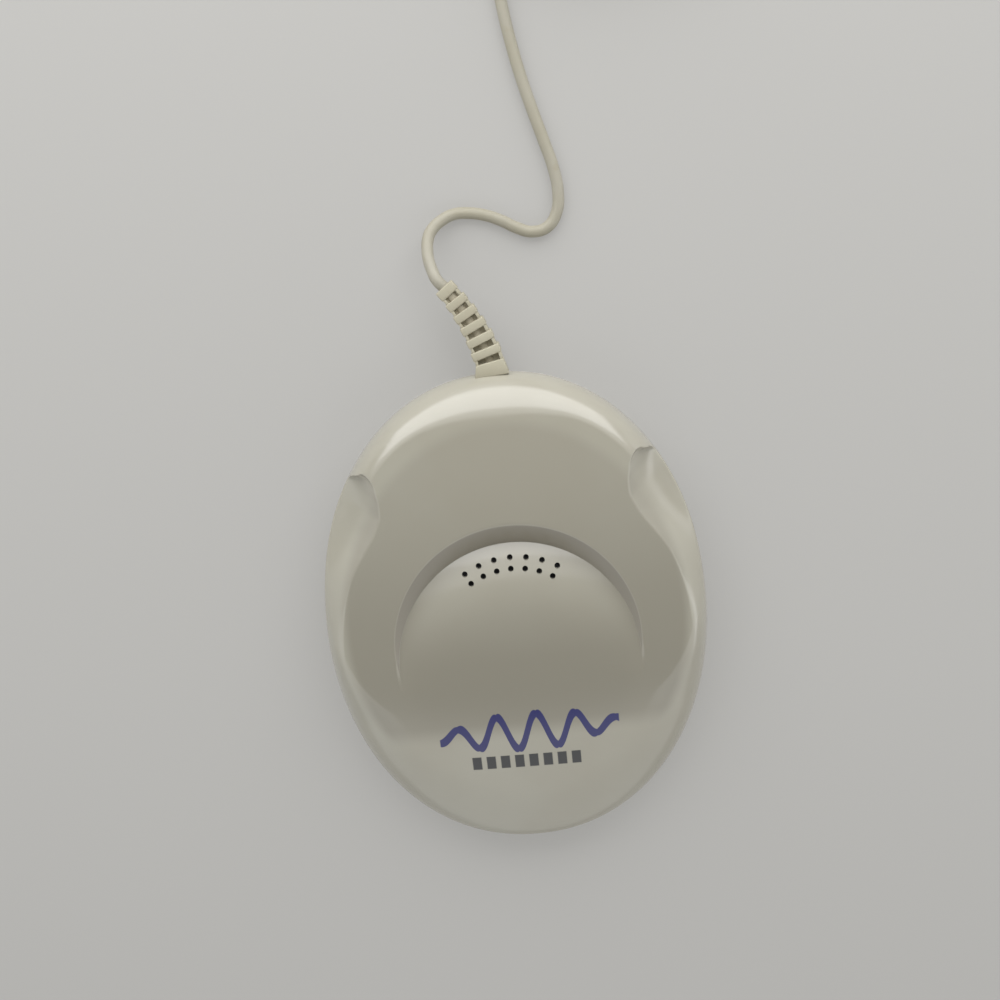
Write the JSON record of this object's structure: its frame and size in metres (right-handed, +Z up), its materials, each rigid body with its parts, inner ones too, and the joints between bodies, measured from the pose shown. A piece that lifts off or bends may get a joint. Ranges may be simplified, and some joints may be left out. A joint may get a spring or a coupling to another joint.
{
  "type": "pillow speaker",
  "caption": "Flat oval pillow speaker: a smooth case with finger scoops, a round sunk dome with sound holes, a segmented strain relief and a coiled cord with a jack plug.",
  "frame": {"origin": "centre of the case's underside, on the surface that the part lies on", "axes": "+Z up out of the face with the sound holes; +Y along the case's length to the end where the cord leaves; +X to the right seen from the face with the cord end up"},
  "size_m": [0.115, 0.2731, 0.022],
  "materials": {
    "case_plastic": "warm white moulded plastic, satin gloss",
    "cord_vinyl": "cream flexible vinyl, matt",
    "steel": "zinc-plated steel",
    "frame_steel": "pressed steel sheet",
    "ferrite": "sintered ferrite, dark grey",
    "paper": "black paper cone",
    "cloth": "dark open-weave cloth",
    "spider_cloth": "resin-treated cotton cloth",
    "copper": "enamelled copper winding",
    "foam": "black foam",
    "board": "brown paper-based laminate",
    "brass": "tinned brass",
    "wire_red": "red insulation",
    "wire_black": "black insulation",
    "nickel": "nickel plate",
    "insulator": "black insulating ring",
    "tie": "white coated wire tie"
  },
  "bodies": {
    "root": {"front_shell": "case_plastic", "rear_shell": "case_plastic", "case_screws": "steel", "dust_cloth": "cloth", "driver_gasket": "foam", "driver_frame": "frame_steel", "driver_plate": "steel", "driver_magnet": "ferrite", "driver_yoke": "steel", "voice_coil": "copper", "driver_spider": "spider_cloth", "driver_cone": "paper", "dust_cap": "paper", "terminal_board": "board", "terminal_tags": "brass", "driver_clamps": "steel", "clamp_screws": "steel", "magnet_pad": "foam", "lead_red": "wire_red", "lead_black": "wire_black", "cord_tail": "cord_vinyl", "cord_grip": "case_plastic", "grip_screws": "steel", "strain_relief": "cord_vinyl", "cord_run": "cord_vinyl", "cord_coil": "cord_vinyl", "cord_end": "cord_vinyl", "cord_tie": "tie", "plug_body": "cord_vinyl", "plug_sleeve": "nickel", "plug_insulator": "insulator", "plug_tip": "nickel"}
  },
  "joints": []
}
